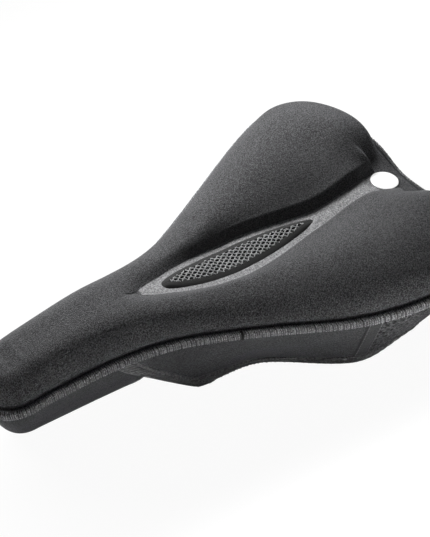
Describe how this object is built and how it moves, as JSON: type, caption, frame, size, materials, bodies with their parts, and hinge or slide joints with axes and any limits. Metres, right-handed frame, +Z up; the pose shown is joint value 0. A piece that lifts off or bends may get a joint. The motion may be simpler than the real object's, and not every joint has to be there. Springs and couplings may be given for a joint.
{
  "type": "bicycle saddle cover",
  "caption": "Padded bicycle saddle cover: stretch skin over foam and gel, sunken relief channel with a netted vent, overlocked rim, nose pocket and elastic skirt that slips over a saddle.",
  "frame": {"origin": "on the table, under the middle of the bounding box", "axes": "+X towards the nose, +Y to the rider's left, +Z up; the hems and the pocket's sole stand on Z = 0"},
  "size_m": [0.277, 0.174, 0.0679],
  "materials": {
    "skin": "matte stretch knit with a fine grain",
    "foam": "open-cell foam",
    "gel": "soft gel",
    "net": "woven net",
    "film": "smooth welded film",
    "badge": "plain printed disc",
    "lining": "thin knit",
    "dots": "soft printed rubber",
    "overlock": "overlock thread",
    "skirt": "smooth stretch knit",
    "elastic": "covered elastic",
    "rear_fabric": "coarse anti-slip fabric"
  },
  "bodies": {
    "root": {"top_skin": "skin", "foam_core": "foam", "gel_insole_left": "gel", "gel_insole_right": "gel", "vent_net": "net", "vent_border": "film", "badge": "badge", "base_lining": "lining", "grip_dots": "dots", "edge_binding": "overlock", "nose_pocket": "skirt", "nose_hem": "elastic", "side_panel_left": "skirt", "side_panel_right": "skirt", "front_hem_left": "elastic", "front_hem_right": "elastic", "side_hem_left": "elastic", "side_hem_right": "elastic", "rear_panel": "rear_fabric", "rear_hem": "elastic", "seam_tape_left": "elastic", "seam_tape_right": "elastic"}
  },
  "joints": []
}
